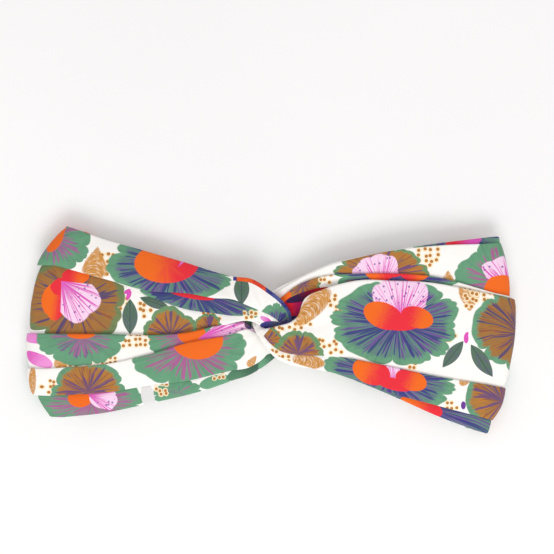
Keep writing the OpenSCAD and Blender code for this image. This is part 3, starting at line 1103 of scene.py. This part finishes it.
def casing_half(side):
    """Half of the ruched casing, from the middle of the back to the seam, with its end turned in."""
    sign = SIGN[side]
    xs = list(np.arange(0, SEAM_X + 0.01, 0.62)) + [SEAM_X + 0.3, SEAM_X, SEAM_X - 1.5]
    shrink = [0.0] * (len(xs) - 3) + [0.35, 0.8, 1.0]
    straight = CASING_W - CASING_T
    turn = np.linspace(0, 2 * np.pi, 73)[:-1]
    grid, places = [], []
    for x, inset in zip(xs, shrink):
        row, place = [], []
        for angle in turn:
            c, s = math.cos(angle), math.sin(angle)
            y = straight / 2 * max(-1.0, min(1.0, c * 1.25))
            y += (CASING_T / 2 - inset) * c * abs(c) ** 0.3
            z = (CASING_T / 2 - inset) * (1 if s > 0 else -1) * abs(s) ** 0.45
            bend = 2.2 * noise.noise(Vector((y / 14, sign * x / 12, 1.0)))
            ridge = noise.noise(Vector(((sign * x + bend) / 1.7, y / 11, 4.0 if s > 0 else 8.0)))
            fade = min(1.0, (SEAM_X + 0.6 - x) / 3) if x < SEAM_X else 0.2
            wave = 1.5 * ridge * fade * abs(s) ** 0.5
            out = 0.9 * noise.noise(Vector((sign * x / 2.2, 20.0 * (c > 0), 2.0))) * abs(c) ** 6
            z = CASING_T / 2 + z * (0.84 + wave * 0.33)
            y += CASING_Y + out * (1 if c > 0 else -1)
            row.append((sign * x, y, min(5.2, max(0.05, z))))
            place.append((sign * x * 1.9, y + (60 if s > 0 else 150)))
        grid.append(row)
        places.append(place)
    grid, places = np.array(grid), np.array(places)

    def uvs(quads, _):
        return places.reshape(-1, 2)[quads]

    slots = np.zeros((len(xs) - 1) * len(turn), int)
    return ring_mesh(f"{side}_casing_cloth", grid, uvs, [CLOTH["all-over print"]], slots, side == "left")


def webbing_strip(name, x_low, x_high):
    """A flat strip of ribbed webbing, cut into cells along X so that it can bend."""
    ys = np.linspace(CASING_Y - ELASTIC_W / 2, CASING_Y + ELASTIC_W / 2, 33)
    half = ELASTIC_T / 2 + 0.12 * np.cos(2 * math.pi * ys / 3.1)
    ring = [*zip(ys, ELASTIC_Z + half), *zip(ys[::-1], (ELASTIC_Z - half)[::-1])]
    count = len(ring)
    points = [(x, y, z) for x in np.linspace(x_low, x_high, ELASTIC_CELLS + 1) for y, z in ring]
    faces = []
    for start in range(0, ELASTIC_CELLS * count, count):
        for j in range(count):
            k = (j + 1) % count
            faces.append((start + j, start + k, start + count + k, start + count + j))
    near_end = [(j, j + 1, count - 2 - j, count - 1 - j) for j in range(count // 2 - 1)]
    far_end = [[ELASTIC_CELLS * count + k for k in corners[::-1]] for corners in near_end]
    faces += near_end + far_end
    mesh = bpy.data.meshes.new(name)
    mesh.from_pydata((np.array(points) * MM).tolist(), [], faces)
    mesh.materials.append(WEBBING)
    mesh.update()
    if volume(mesh) < 0:
        mesh.flip_normals()
    return add_object(name, mesh)


def volume(mesh):
    """The signed volume of a closed mesh: below zero if it is inside out."""
    total = 0.0
    for face in mesh.polygons:
        corners = [mesh.vertices[v].co for v in face.vertices]
        for b, c in zip(corners[1:], corners[2:]):
            total += corners[0].dot(b.cross(c)) / 6
    return total


# ---------------------------------------------------------------- stitches
def stitch_tree():
    """Geometry Nodes: a row of thread stitches laid along a curve, a fixed distance apart."""
    numbers = [(name, "Float") for name in ("Pitch", "Length", "Thread radius", "Slant")]
    tree, given = new_group("row of stitches", "GeometryNodeTree",
                            [("Geometry", "Geometry"), *numbers, ("Thread", "Material")],
                            [("Geometry", "Geometry")])
    half, radius = given["Length"] * 0.5, given["Thread radius"]
    steps = field(tree, "GeometryNodeResampleCurve", {
        "Curve": given["Geometry"], "Length": given["Pitch"]}, mode="LENGTH")
    tangent = field(tree, "GeometryNodeInputTangent")
    turn = field(tree, "FunctionNodeAlignEulerToVector", {"Vector": tangent}, axis="X")
    slant = field(tree, "ShaderNodeCombineXYZ", {2: given["Slant"]})
    turned = field(tree, "FunctionNodeRotateEuler", {"Rotation": turn, "Rotate By": slant}, space="LOCAL")
    arch = field(tree, "GeometryNodeCurveQuadraticBezier", {
        "Resolution": 5, "Start": combine(half * -1.0), "End": combine(half),
        "Middle": field(tree, "ShaderNodeCombineXYZ", {2: radius})})
    ring = field(tree, "GeometryNodeCurvePrimitiveCircle", {"Resolution": 6, "Radius": radius})
    thread = {"Curve": arch, "Profile Curve": ring, "Fill Caps": True}
    stitch = field(tree, "GeometryNodeCurveToMesh", thread)
    laid = field(tree, "GeometryNodeInstanceOnPoints", {
        "Points": steps, "Instance": stitch, "Rotation": turned})
    real = field(tree, "GeometryNodeRealizeInstances", {0: laid})
    smooth = field(tree, "GeometryNodeSetShadeSmooth", {0: real})
    coloured = {"Geometry": smooth, "Material": given["Thread"]}
    return finish(field(tree, "GeometryNodeSetMaterial", coloured))


STITCHES = stitch_tree()


def stitch_rows(name, paths, pitch, length, radius, slant):
    """Thread stitches along each path of points, as one plain mesh."""
    curve = bpy.data.curves.new(name + "_path", "CURVE")
    curve.dimensions = "3D"
    for path in paths:
        spline = curve.splines.new("POLY")
        spline.points.add(len(path) - 1)
        for point, (x, y, z) in zip(spline.points, path):
            point.co = (x * MM, y * MM, z * MM, 1)
    guide = add_object(name + "_path", curve)
    modifier = guide.modifiers.new("stitches", "NODES")
    modifier.node_group = STITCHES
    values = {"Pitch": pitch * MM, "Length": length * MM, "Thread radius": radius * MM,
              "Slant": math.radians(slant), "Thread": THREAD}
    for item in STITCHES.interface.items_tree:
        if item.in_out == "INPUT" and item.name in values:
            modifier[item.identifier] = values[item.name]
    evaluated = guide.evaluated_get(bpy.context.evaluated_depsgraph_get())
    mesh = bpy.data.meshes.new_from_object(evaluated)
    mesh.name = name
    bpy.data.objects.remove(guide)
    return add_object(name, mesh)


# ---------------------------------------------------------------- put together
def metres(*point):
    return tuple(value * MM for value in point)


def bend_with_casing(piece):
    """Bakes the piece's placement into its mesh."""
    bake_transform(piece)


def make_band(side, rows, edge_radius):
    made = band(side, rows, edge_radius)
    front = made["front"]
    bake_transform(front)
    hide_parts(f"{side}_band_loop", f"{side}_band_upper_leg", f"{side}_band_lower_leg")
    for leg in ("upper", "lower"):
        end, back = made[f"{leg}_end"], made[f"{leg}_back"]
        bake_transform(end)
        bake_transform(back)
        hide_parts(f"{side}_band_{leg}_end")
        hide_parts(f"{side}_band_{leg}_return")


def made_of(piece, slot, *nodes):
    """Hides the CAD nodes that a piece stands for; piece and slot, the finish that it would take, are not
    used.
    """
    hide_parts(*nodes)


def make_back(side):
    """The casing's half with its elastic, the join stitches and the bar tack."""
    sign = SIGN[side]
    middle = side == "left"
    casing = casing_half(side)
    bend_with_casing(casing)
    made_of(casing, "casing_cloth", f"{side}_casing_end", *["back_casing"] * middle)

    span = sorted((0.0, sign * ELASTIC_END))
    elastic = webbing_strip(f"{side}_elastic_strip", *span)
    bend_with_casing(elastic)
    made_of(elastic, "elastic_webbing", f"{side}_elastic_end", *["elastic"] * middle)

    ys = np.linspace(CASING_Y - 14, CASING_Y + 14, 15)
    seam = [[(sign * (SEAM_X - 0.9), y, z) for y in ys] for z in (0.3, 4.9)]
    join = stitch_rows(f"{side}_join_thread", seam, 3.2, 2.2, 0.3, 0)
    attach(join, f"back_{side}")
    made_of(join, "sewing_thread", f"{side}_join_stitches")

    ys = np.linspace(CASING_Y - 8, CASING_Y + 8, 17)
    rows = [[(sign * (TACK_X + 1.1 * i), y, z) for y in ys] for i in range(3) for z in (0.2, 4.8)]
    tack = stitch_rows(f"{side}_tack_thread", rows, 1.0, 1.3, 0.25, 55)
    bend_with_casing(tack)
    made_of(tack, "sewing_thread", f"{side}_elastic_tack")


for side in ("left", "right"):
    make_back(side)
make_band("left", LEFT_ROWS, (1.3, 0.9))
make_band("right", RIGHT_ROWS, (1.2, 0.95))


# ---------------------------------------------------------------- floor, light and camera
def floor():
    """A plain pale sheet of card under the headband."""
    mesh = bpy.data.meshes.new("card")
    size = 3.0
    corners = [(-size, -size, 0), (size, -size, 0), (size, size, 0), (-size, size, 0)]
    mesh.from_pydata(corners, [], [(0, 1, 2, 3)])
    card = add_object("card", mesh)
    material, tree = new_material("white card")
    grain = noise_node(field(tree, "ShaderNodeTexCoord", output="Object"), 3.0, 4.0)
    tone = mix(smooth_step(grain, 0.3, 0.7), paint((246, 246, 246)), paint((250, 250, 250)))
    inputs = {"Base Color": tone, "Roughness": 0.95, "Specular IOR Level": 0.1}
    shader = field(tree, "ShaderNodeBsdfPrincipled", inputs)
    node(tree, "ShaderNodeOutputMaterial", {0: shader})
    mesh.materials.append(material)


def area_light(name, place, target, size, power, colour):
    data = bpy.data.lights.new(name, "AREA")
    data.shape = "RECTANGLE"
    data.size, data.size_y = size
    data.energy = power
    data.color = colour
    lamp = add_object(name, data)
    lamp.location = place
    lamp.rotation_mode = "QUATERNION"
    lamp.rotation_quaternion = (Vector(target) - Vector(place)).to_track_quat("-Z", "Y")


def studio():
    """Soft light from the near side and above, with a pale surround."""
    world = bpy.data.worlds.new("studio")
    world.use_nodes = True
    background = world.node_tree.nodes["Background"]
    background.inputs["Color"].default_value = (1.0, 0.972, 0.968, 1)
    background.inputs["Strength"].default_value = 0.66
    bpy.context.scene.world = world
    area_light("soft box", (0.1, -0.85, 1.0), (0, 0, 0), (0.78, 0.6), 7.6, (0.985, 1, 1))
    area_light("top fill", (0, 0.1, 1.6), (0, 0, 0), (1.6, 1.6), 3.9, (0.99, 1, 1))
    bpy.context.scene.view_settings.view_transform = "Standard"


def camera():
    """Looks almost straight down, with the headband low in the frame."""
    data = bpy.data.cameras.new("camera")
    data.lens = 85
    data.sensor_width = 36
    data.dof.use_dof = False
    data.clip_start, data.clip_end = 0.01, 20
    made = add_object("camera", data)
    target = Vector(metres(3.0, 26.1, 15))
    tilt = math.radians(88)
    back = Vector((0, -math.cos(tilt), math.sin(tilt)))
    made.location = target + back * 0.645
    made.rotation_mode = "QUATERNION"
    made.rotation_quaternion = (-back).to_track_quat("-Z", "Y")
    bpy.context.scene.camera = made


floor()
studio()
camera()
